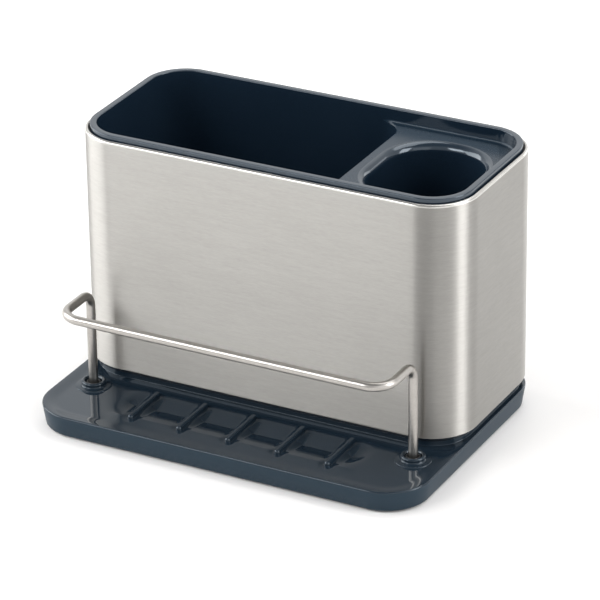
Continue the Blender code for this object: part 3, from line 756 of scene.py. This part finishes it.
def wire_half(side):
    """Centre line of one half, from the foot of its leg to the middle of the front run."""
    x = side * LEG_X
    points = [(x, LEG_Y, rail_low.z), (x, LEG_Y, rail_low.z + WIRE_END_ROUND)]
    lowest = rail_low.z + LEG_MARGINS[0]
    for z in np.linspace(lowest, RAIL_AXIS_Z - RAIL_TOP_BEND - LEG_MARGINS[1], RUN_POINTS):
        points.append((x, LEG_Y, z))
    angles = np.linspace(0, math.pi / 2, BEND_STEPS + 1)
    bend = [(1 - math.cos(angle), 1 - math.sin(angle)) for angle in angles]
    for turned, ahead in bend:
        points.append((x, LEG_Y - RAIL_TOP_BEND * turned, RAIL_AXIS_Z - RAIL_TOP_BEND * ahead))
    for turned, ahead in bend:
        across = side * RAIL_CORNER_BEND * turned
        points.append((x - across, RAIL_FRONT_Y + RAIL_CORNER_BEND * ahead, RAIL_AXIS_Z))
    for share in np.linspace(FRONT_RUN_START, 1.0, RUN_POINTS):
        points.append((side * (LEG_X - RAIL_CORNER_BEND) * (1 - share), RAIL_FRONT_Y, RAIL_AXIS_Z))
    return points


def swept(route, radii, sides):
    """Rings along a route, turned without twist from one to the next."""
    route = [Vector(point) for point in route]
    rings = []
    across = Vector((1, 0, 0))
    for i, place in enumerate(route):
        ahead = route[min(i + 1, len(route) - 1)] - route[max(i - 1, 0)]
        ahead.normalize()
        across = (across - ahead * across.dot(ahead)).normalized()
        up = ahead.cross(across)
        angles = np.linspace(0, 2 * math.pi, sides, endpoint=False)
        spokes = [across * math.cos(angle) + up * math.sin(angle) for angle in angles]
        rings.append(np.array([place + radii[i] * spoke for spoke in spokes]))
    return rings


GRAIN_ROUGHNESS = 0.62
COARSE_SCALE = 0.23
FINE_SHARE, COARSE_SHARE = 0.65, 0.35
PATCH_SCALE = 28.0
STREAK_SPAN = (0.3, 0.7)
GLOSS_SPAN = (0.25, 0.75)
PATCH_SPAN = (0.35, 0.75)
SMUDGE_SHARE = 0.07
SMUDGE_ROUGHNESS = 0.05
BRIGHT_EDGE_SHARE = 0.4
GRAIN_TURN = 0.25


def build_drawn_grain():
    """Brushing: fine scratches that run level, and broad patches in their gloss."""
    group, source, result = node_group("drawn_grain", [
        ("Along Scale", 60.0), ("Across Scale", 3200.0),
    ], ("Grain", "Patches"))
    place = add_node(group, "ShaderNodeSeparateXYZ", [(0, object_place(group))])
    scaled = []
    for axis, label in (("X", "Along Scale"), ("Y", "Along Scale"), ("Z", "Across Scale")):
        scaled.append(math_node(group, "MULTIPLY", place.outputs[axis], source.outputs[label]))
    stretched = add_node(group, "ShaderNodeCombineXYZ", list(zip((0, 1, 2), scaled))).outputs[0]
    fine = noise(group, stretched, 1.0, detail=5.0, roughness=GRAIN_ROUGHNESS)
    coarse = noise(group, stretched, COARSE_SCALE, detail=3.0)
    both = math_node(group, "ADD", math_node(group, "MULTIPLY", fine, FINE_SHARE),
                     math_node(group, "MULTIPLY", coarse, COARSE_SHARE))
    patches = noise(group, object_place(group), PATCH_SCALE, detail=3.0)
    group.links.new(both, result.inputs["Grain"])
    group.links.new(patches, result.inputs["Patches"])
    return group


drawn_grain = build_drawn_grain()


def brushed(name, deep, pale, rough, along, across, depth, anisotropy):
    """A stainless steel with brushed grain in its colour, its gloss and its relief."""
    material, tree, shader = new_material(name)
    grain = place_group(tree, drawn_grain, Along_Scale=along, Across_Scale=across)
    edges = place_group(tree, rubbed_edges, Sharpness=0.58)
    streak = remap(tree, grain.outputs["Grain"], *STREAK_SPAN)
    body = mix_colours(tree, streak, deep, pale)
    smudge = remap(tree, grain.outputs["Patches"], *PATCH_SPAN, 0.0, SMUDGE_SHARE)
    smudged = mix_colours(tree, smudge, body, deep)
    bright = math_node(tree, "MULTIPLY", edges.outputs["Mask"], BRIGHT_EDGE_SHARE)
    tree.links.new(mix_colours(tree, bright, smudged, pale), shader.inputs["Base Color"])
    even = remap(tree, grain.outputs["Grain"], *GLOSS_SPAN, *rough)
    patchy = math_node(tree, "MULTIPLY_ADD", grain.outputs["Patches"], SMUDGE_ROUGHNESS, even)
    tree.links.new(patchy, shader.inputs["Roughness"])
    set_inputs(shader, Metallic=1.0, Anisotropic=anisotropy, Anisotropic_Rotation=GRAIN_TURN)
    bump(tree, shader, grain.outputs["Grain"], depth)
    return material


route = wire_half(1) + wire_half(-1)[::-1][1:]
radii = [WIRE_RADIUS] * len(route)
radii[0] = radii[-1] = WIRE_RADIUS - WIRE_END_ROUND
wire = Shell()
wire.skin(swept(route, radii, WIRE_SIDES), caps=[0, -1])
satin_wire = brushed(
    "satin_wire", deep=(0.375, 0.357, 0.334), pale=(0.47, 0.45, 0.425), rough=(0.24, 0.32),
    along=900.0, across=900.0, depth=0.003 * mm, anisotropy=0.0)
rail_piece = wire.piece("bent_rail", [satin_wire])
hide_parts("rail")
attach(rail_piece, "rail")

# Caddy base
# A dark moulding inside the sleeve's lower edge. It shows as a shadowed band under the steel,
# and it keeps its solid, with a satin moulded finish.
base_plastic = plastic(
    "base_satin", deep=(0.010, 0.014, 0.020), pale=(0.013, 0.018, 0.025), gloss=(0.28, 0.36),
    rubbed=(0.04, 0.05, 0.06), skin_depth=0.01 * mm, dust=0.05)
refinish("caddy_base", base_plastic)

# Steel sleeve
# One sheet of stainless, wrapped round the body with its grain level, and its edges rolled inwards.
# The brushing is fine and close. The rolled upper edge is polished finer than the walls, and its
# lighter colour is a painted highlight along it.
SHEET = 0.8 * mm
EDGE_TURN = 1.6 * mm
EDGE_ROLL = 1.3 * mm


def rolled_profile():
    """Inset and height round the sheet's section, outside first and back up inside."""
    top, bottom = sleeve_high.z, sleeve_low.z
    inner_roll = EDGE_ROLL - SHEET
    upper = rounded((EDGE_ROLL, top), (0, top - EDGE_ROLL), steps=8)
    lower = [(inset, bottom + top - height) for inset, height in upper[::-1]]
    inner = rounded((EDGE_ROLL, top - SHEET), (SHEET, top - SHEET - inner_roll))
    inner_low = [(inset, bottom + top - height) for inset, height in inner]
    lips = [(EDGE_TURN, height) for height in (bottom, bottom + SHEET, top - SHEET, top)]
    return upper, [*lower, *lips[:2], *inner_low, *inner[::-1], *lips[2:]]


sleeve = Shell()
upper_roll, rest_of_sheet = map(body_plan.rings, rolled_profile())
sleeve.skin(upper_roll, finish=1)
sleeve.skin([upper_roll[-1], *rest_of_sheet, upper_roll[0]])
sleeve_steel = brushed(
    "sleeve_steel", deep=(0.375, 0.365, 0.346), pale=(0.46, 0.449, 0.428), rough=(0.47, 0.53),
    along=280.0, across=3000.0, depth=0.004 * mm, anisotropy=0.98)
# The rolled edge's finer polish is real, and its lighter colour than the walls is a painted
# highlight.
edge_steel_painted_highlight = brushed(
    "edge_steel_painted_highlight", deep=(0.50, 0.49, 0.465), pale=(0.60, 0.588, 0.56), rough=(0.2, 0.26),
    along=40.0, across=700.0, depth=0.001 * mm, anisotropy=0.3)
sleeve_piece = sleeve.piece("steel_wrap", [sleeve_steel, edge_steel_painted_highlight])
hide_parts("steel_sleeve")
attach(sleeve_piece, "caddy")

# Inner liner
# A lift-out moulding in the same blue-grey plastic, with a wide rim, polished but for its satin
# shelf. The main compartment is on the left, and on the right the brush cup is sunk in the shelf.
# The shelf's left edge runs out in a point where it meets the front and back walls.
liner_low, liner_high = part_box("inner_liner")
LINER_INSET = 2.6 * mm
LINER_RIM = 3.6 * mm
LINER_RIM_ROUND = 0.5 * mm
LINER_RIM_BAND = 6.5 * mm
LINER_WALL = 2.6 * mm
LINER_DRAFT = 2.4 * mm
LINER_FLOOR = 2.4 * mm
LINER_FLOOR_ROUND = 4.0 * mm
SHELF_DROP = 7.9 * mm
SHELF_THICKNESS = 2.4 * mm
SHELF_EDGE = 1.0 * mm
SHELF_FILLET = 1.5 * mm
DIVIDER_X = 35.0 * mm
DIVIDER_CORNER = 13.0 * mm
CUP_MARGINS = (7.0 * mm, 7.4 * mm, 8.0 * mm, 11.5 * mm)
CUP_CORNER = 27.0 * mm
CUP_WALL = 2.4 * mm
CUP_THROAT = 2.4 * mm
CUP_MOUTH_ROUND = 4.5 * mm
CUP_DRAFT = 2.0 * mm
CUP_FLAT = 0.3 * mm
CUP_STEPS = {"long": 6, "short": 24}
LEFT_RUN_STEPS = 30
RIGHT_RUN_STEPS = 60
END_RUN_STEPS = 20
DIVIDER_ARC_STEPS = 60
DIVIDER_RUN_STEPS = 24
WALL_SHARES = (0.35, 0.7)
SHELF_ROWS = (0.06, 0.2, 0.4, 0.62, 0.85, 1.05, 1.4, 1.8, 2.2, 2.5, 3.2, 4.2)
MOUTH_ROWS = (0.7, 1.6)
SHELF_CLEAR = 0.04 * mm
MOUTH_CLEAR = 0.3 * mm

RIM_TOP = liner_high.z
SHELF_TOP = RIM_TOP - SHELF_DROP
OPENING_INSET = LINER_INSET + LINER_RIM
JOIN_X = DIVIDER_X - DIVIDER_CORNER
opening = body_plan.inset(OPENING_INSET)
compartment = Plan(opening.x0, DIVIDER_X, opening.y0, opening.y1, opening.left, DIVIDER_CORNER)
cup_left, cup_right, cup_front, cup_back = CUP_MARGINS
cup_x0 = DIVIDER_X + cup_left
cup_x1 = opening.x1 - cup_right
cup_y0 = opening.y0 + cup_front
cup_y1 = opening.y1 - cup_back
cup = Plan(cup_x0, cup_x1, cup_y0, cup_y1, min(CUP_CORNER, (cup_x1 - cup_x0) / 2 - CUP_FLAT))


def left_part(inset):
    """The opening's outline left of the divider, from the back wall round to the front wall."""
    plan = opening.inset(inset)
    _, rear, front, _ = plan.corners()
    start, end = (JOIN_X, plan.y1), (JOIN_X, plan.y0)
    return np.vstack([
        [start], run(start, rear[0], LEFT_RUN_STEPS),
        rear, run(rear[-1], front[0], END_RUN_STEPS),
        front, run(front[-1], end, LEFT_RUN_STEPS), [end],
    ])


def right_part(inset):
    """The opening's outline right of the divider, from the front wall round to the back wall."""
    plan = opening.inset(inset)
    rear, _, _, front = plan.corners()
    start, end = (JOIN_X, plan.y0), (JOIN_X, plan.y1)
    return np.vstack([
        run(start, front[0], RIGHT_RUN_STEPS),
        front, run(front[-1], rear[0], END_RUN_STEPS),
        rear, run(rear[-1], end, RIGHT_RUN_STEPS),
    ])


def divider_part(inset):
    """The divider's face, from the front wall round to the back wall."""
    plan = compartment.inset(inset)
    x1 = DIVIDER_X - inset
    radius = x1 - JOIN_X
    front = arc((JOIN_X, plan.y0 + radius), radius, 270, 360, DIVIDER_ARC_STEPS)[1:]
    rear = arc((JOIN_X, plan.y1 - radius), radius, 0, 90, DIVIDER_ARC_STEPS)[:-1]
    return np.vstack([front, run(front[-1], rear[0], DIVIDER_RUN_STEPS), rear])


def over_whole_opening(inset):
    return np.vstack([left_part(inset), right_part(inset)])


def over_compartment(inset):
    return np.vstack([left_part(inset), divider_part(inset)])


def quarter_fall(distance, radius):
    """How far a quarter round has left its level side, at a distance from its upright side."""
    return radius - np.sqrt(radius**2 - np.clip(radius - distance, 0, radius) ** 2)


def shelf_height(x, y):
    """The shelf: rounded off along the divider, and filleted up to the rim's wall."""
    drop = quarter_fall(-compartment.depth(x, y), SHELF_EDGE)
    rise = quarter_fall(opening.depth(x, y), SHELF_FILLET)
    return SHELF_TOP - drop + rise


def wall_height(x, y):
    """Height at which an upright wall begins, level with the shelf."""
    return np.where(x <= JOIN_X, SHELF_TOP, shelf_height(x, y))


liner = Shell()

# The rim, from its outer edge over the top and down its inner wall to the shelf
outside_wall = OPENING_INSET - LINER_WALL
below_round = RIM_TOP - LINER_RIM_ROUND
rim_profile = rounded((LINER_INSET + LINER_RIM_ROUND, RIM_TOP), (LINER_INSET, below_round))[::-1]
rim_profile.append((OPENING_INSET - LINER_RIM_ROUND, RIM_TOP))
rim_profile += [(OPENING_INSET - LINER_RIM_ROUND + inset, height)
                for inset, height in rounded((0, RIM_TOP), (LINER_RIM_ROUND, below_round))][1:]
outer_profile = [
    (outside_wall, RIM_TOP - LINER_RIM_BAND - (outside_wall - LINER_INSET)),
    (LINER_INSET, RIM_TOP - LINER_RIM_BAND),
]
floor_round = rounded((0, liner_low.z), (LINER_FLOOR_ROUND, liner_low.z + LINER_FLOOR_ROUND))
foot_profile = [(outside_wall + LINER_DRAFT + LINER_FLOOR_ROUND - inset, height)
                for inset, height in floor_round]
rim_rings = [lifted(over_whole_opening(inset - OPENING_INSET), height)
             for inset, height in foot_profile + outer_profile + rim_profile]
rim_rings.append(lifted(over_whole_opening(0), wall_height))
liner.skin(rim_rings, caps=[0])

# The shelf between the rim's wall, the divider and the cup's mouth
left_edge = left_part(0)
shelf_outline = np.vstack([left_edge[-1:], right_part(0), left_edge[:1], divider_part(0)[::-1]])
shelf_points = []
for by in SHELF_ROWS:
    shelf_points.append(right_part(by * mm))
    shelf_points.append(divider_part(-by * mm))
mouth = cup.inset(CUP_THROAT - CUP_MOUTH_ROUND)
for by in MOUTH_ROWS:
    shelf_points.append(mouth.inset(-by * mm).outline(**CUP_STEPS))
shelf_points = np.vstack(shelf_points)
x, y = shelf_points.T
clear = (compartment.depth(x, y) < -SHELF_CLEAR) & (opening.depth(x, y) > SHELF_CLEAR)
clear &= mouth.depth(x, y) < -MOUTH_CLEAR
mouth_outline = mouth.outline(**CUP_STEPS)
liner.sheet([shelf_outline, mouth_outline], shelf_height, shelf_points[clear],
            lambda x, y: mouth.depth(x, y) > 0, finish=1)


def well_rings(outline_at, top_ring, top, draft, floor):
    """A drafted hollow below a ring, with a rounded floor."""
    rings = [top_ring]
    foot = floor + LINER_FLOOR_ROUND
    for share in WALL_SHARES:
        rings.append(lifted(outline_at(draft * share), top + (foot - top) * share))
    corner = rounded((LINER_FLOOR_ROUND, floor), (0, foot), steps=8)
    for inset, height in corner[::-1]:
        rings.append(lifted(outline_at(draft + inset), height))
    return rings


floor_height = liner_low.z + LINER_FLOOR
liner.skin(well_rings(over_compartment, lifted(over_compartment(0), wall_height), SHELF_TOP,
                      LINER_DRAFT, floor_height), caps=[-1])


def cup_outline(inset):
    return cup.inset(inset).outline(**CUP_STEPS)


mouth_rings = [lifted(mouth_outline, shelf_height)]
throat_top = SHELF_TOP - CUP_MOUTH_ROUND
mouth_profile = rounded(
    (CUP_THROAT - CUP_MOUTH_ROUND, SHELF_TOP), (CUP_THROAT, throat_top), steps=12)
mouth_rings += [lifted(cup_outline(inset), height) for inset, height in mouth_profile[1:]]
throat = well_rings(lambda inset: cup_outline(CUP_THROAT + inset), mouth_rings[-1], throat_top,
                    CUP_DRAFT, floor_height)
liner.skin(mouth_rings + throat[1:], caps=[-1])

# The polished parts, down into the compartments, get a darker colour than the satin shelf, though
# both are one plastic. This is painted shade inside the compartments and painted light on the
# shelf.
liner_gloss_painted_shade = plastic(
    "liner_gloss_painted_shade", deep=(0.0075, 0.016, 0.028), pale=(0.0095, 0.019, 0.032), gloss=(0.09, 0.15),
    skin_depth=0.003 * mm, ior=1.65)
liner_satin_painted_light = plastic(
    "liner_satin_painted_light", deep=(0.011, 0.0225, 0.037), pale=(0.0135, 0.0265, 0.042), gloss=(0.24, 0.3),
    skin_depth=0.006 * mm, ior=1.36)
liner_piece = liner.piece("liner_moulding", [liner_gloss_painted_shade, liner_satin_painted_light])

# The hollow round the cup, open from below, with the cup's own tube left standing in it
HOLLOW_CORNER = 3.0 * mm
hollow_top = SHELF_TOP - SHELF_THICKNESS


def underside_plan(inset):
    return Plan(DIVIDER_X + LINER_WALL - inset, opening.x1 - inset,
                opening.y0 + inset, opening.y1 - inset, HOLLOW_CORNER, opening.right - inset)


narrow = LINER_DRAFT + LINER_FLOOR_ROUND
underside = solid("liner_underside", [
    underside_plan(narrow).ring(liner_low.z + BELOW),
    underside_plan(narrow).ring(liner_low.z + LINER_FLOOR_ROUND),
    underside_plan(LINER_DRAFT).ring(liner_low.z + 2 * LINER_FLOOR_ROUND),
    underside_plan(0).ring(hollow_top),
])
tube = CUP_THROAT - CUP_WALL
cut(underside, solid("cup_tube", [
    lifted(cup_outline(tube + CUP_DRAFT), liner_low.z + 2 * BELOW),
    lifted(cup_outline(tube), SHELF_TOP),
]))
cut(liner_piece, underside)

# Drain slots through the floor, in two rows in the main compartment and one in the cup
DRAIN_WIDTH = 3.6 * mm
DRAIN_LENGTH = 18.0 * mm
DRAIN_PITCH_X = 26.0 * mm
DRAIN_PITCH_Y = 30.0 * mm
DRAIN_MARGIN = 12.0 * mm
DRAIN_FLAT = 0.05 * mm
first_drain = opening.x0 + LINER_DRAFT + DRAIN_MARGIN
last_drain = DIVIDER_X - LINER_DRAFT - DRAIN_MARGIN
drain_columns = int((last_drain - first_drain) / DRAIN_PITCH_X) + 1
body_middle = (body_plan.y0 + body_plan.y1) / 2
drains = []
for column in range(drain_columns):
    x = (first_drain + last_drain) / 2 + (column - (drain_columns - 1) / 2) * DRAIN_PITCH_X
    drains += [(x, body_middle - DRAIN_PITCH_Y / 2), (x, body_middle + DRAIN_PITCH_Y / 2)]
for side in (-1, 1):
    drains.append(((cup_x0 + cup_x1) / 2 + side * DRAIN_PITCH_X / 4, (cup_y0 + cup_y1) / 2))
slots = []
for x, y in drains:
    half, end = DRAIN_WIDTH / 2, DRAIN_LENGTH / 2
    slot_plan = Plan(x - half, x + half, y - end, y + end, half - DRAIN_FLAT)
    outline = slot_plan.outline(long=2, short=2, steps=8)
    slots.append([lifted(outline, liner_low.z + BELOW), lifted(outline, floor_height - BELOW)])
cut(liner_piece, solid("drain_slots", *slots))
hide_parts("inner_liner")
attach(liner_piece, "liner")

# Studio
# A pale floor that keeps the caddy's shadow, in a white room whose front wall and ceiling are
# dimmer. Soft lamps stand on the left and at all four corners, a tall narrow one stands on the
# right, and one hangs overhead.
FLOOR_SIZE = 16.0
FLOOR_TONES = ((0.86, 0.85, 0.843), (0.88, 0.87, 0.863))
FLOOR_ROUGHNESS = 0.9
FLOOR_DROP = 0.2 * mm
FLOOR_LIFT = 0.03
NEAR_FLOOR = 0.2
FAR_FLOOR = 1.3
WORLD_LIGHT = 0.45
BACKDROP_SIDES = (-0.35, 0.15)
FRONT_LIGHT = 0.75
WALL_TOP = (0.68, 0.9)
CEILING_LIGHT = 0.3
AIM = Vector((0, 0, 0.07))


def straight_view(tree):
    """1 for what the camera, a reflection or a clear piece sees, and 0 for scattered light."""
    path = add_node(tree, "ShaderNodeLightPath")
    seen = math_node(tree, "MAXIMUM", path.outputs["Is Camera Ray"], path.outputs["Is Glossy Ray"])
    return math_node(tree, "MAXIMUM", seen, path.outputs["Is Transmission Ray"])


floor_mesh = bmesh.new()
bmesh.ops.create_grid(floor_mesh, x_segments=8, y_segments=8, size=FLOOR_SIZE / 2)
floor_data = bpy.data.meshes.new("studio_floor")
floor_mesh.to_mesh(floor_data)
floor_mesh.free()
floor = placed("studio_floor", floor_data)
floor.location.z = -FLOOR_DROP
floor_material, floor_tree, floor_shader = new_material("studio_floor")
set_inputs(floor_shader, Roughness=FLOOR_ROUGHNESS, Specular_IOR_Level=0.0)
floor_place = object_place(floor_tree)
cloud = noise(floor_tree, floor_place, scale=3.0, detail=2.0)
floor_tone = mix_colours(floor_tree, cloud, *FLOOR_TONES)
floor_tree.links.new(floor_tone, floor_shader.inputs["Base Color"])
from_caddy = add_node(floor_tree, "ShaderNodeVectorMath", [(0, floor_place)], operation="LENGTH")
lift = remap(floor_tree, from_caddy.outputs["Value"], NEAR_FLOOR, FAR_FLOOR, FLOOR_LIFT, 1.0)
glow = add_node(floor_tree, "ShaderNodeEmission", [
    ("Strength", math_node(floor_tree, "MULTIPLY", straight_view(floor_tree), lift)),
])
both = add_node(floor_tree, "ShaderNodeAddShader", [
    (0, floor_shader.outputs[0]), (1, glow.outputs[0]),
])
floor_tree.links.new(both.outputs[0], floor_tree.nodes["Material Output"].inputs["Surface"])
floor_data.materials.append(floor_material)

world = bpy.data.worlds.new("studio")
scene.world = world
world.use_nodes = True
room_tree = world.node_tree
backdrop = room_tree.nodes["Background"]
set_inputs(backdrop, Color=(1.0, 1.0, 1.0, 1.0))
direction = add_node(room_tree, "ShaderNodeTexCoord").outputs["Generated"]
towards = add_node(room_tree, "ShaderNodeSeparateXYZ", [(0, direction)])
walls = remap(room_tree, towards.outputs["Y"], *BACKDROP_SIDES, FRONT_LIGHT, 1.0)
ceiling = remap(room_tree, towards.outputs["Z"], *WALL_TOP, 1.0, CEILING_LIGHT)
room = math_node(room_tree, "MULTIPLY", walls, ceiling)
extra = math_node(room_tree, "SUBTRACT", room, WORLD_LIGHT)
seen = math_node(room_tree, "MULTIPLY_ADD", straight_view(room_tree), extra, WORLD_LIGHT)
room_tree.links.new(seen, backdrop.inputs["Strength"])


def lamp(name, azimuth, elevation, distance, width, height, power):
    """A soft rectangular lamp that faces the body. Azimuth 0 is in front, and 90 on the right."""
    data = bpy.data.lights.new(name, "AREA")
    data.shape = "RECTANGLE"
    data.size, data.size_y = width, height
    data.energy = power
    light = placed(name, data)
    round_angle, up_angle = math.radians(azimuth), math.radians(elevation)
    flat = math.cos(up_angle) * distance
    light.location = AIM + Vector((
        flat * math.sin(round_angle), -flat * math.cos(round_angle), distance * math.sin(up_angle),
    ))
    light.rotation_euler = (AIM - light.location).to_track_quat("-Z", "Y").to_euler()


lamp("left_softbox", -74, 24, 1.3, 1.2, 0.9, 14.5)
lamp("front_left_softbox", -30, 36, 1.3, 0.5, 0.5, 5.3)
lamp("front_right_softbox", 52, 24, 1.3, 0.9, 0.9, 1.8)
lamp("right_strip", 95, 24, 1.2, 0.46, 1.0, 8)
lamp("side_softbox", 160, 14, 1.4, 0.6, 0.5, 1.6)
lamp("back_softbox", -152, 30, 1.6, 1.6, 0.7, 1.2)
lamp("overhead_softbox", 165, 64, 1.5, 1.2, 0.8, 8.5)

scene.view_settings.view_transform = "Standard"
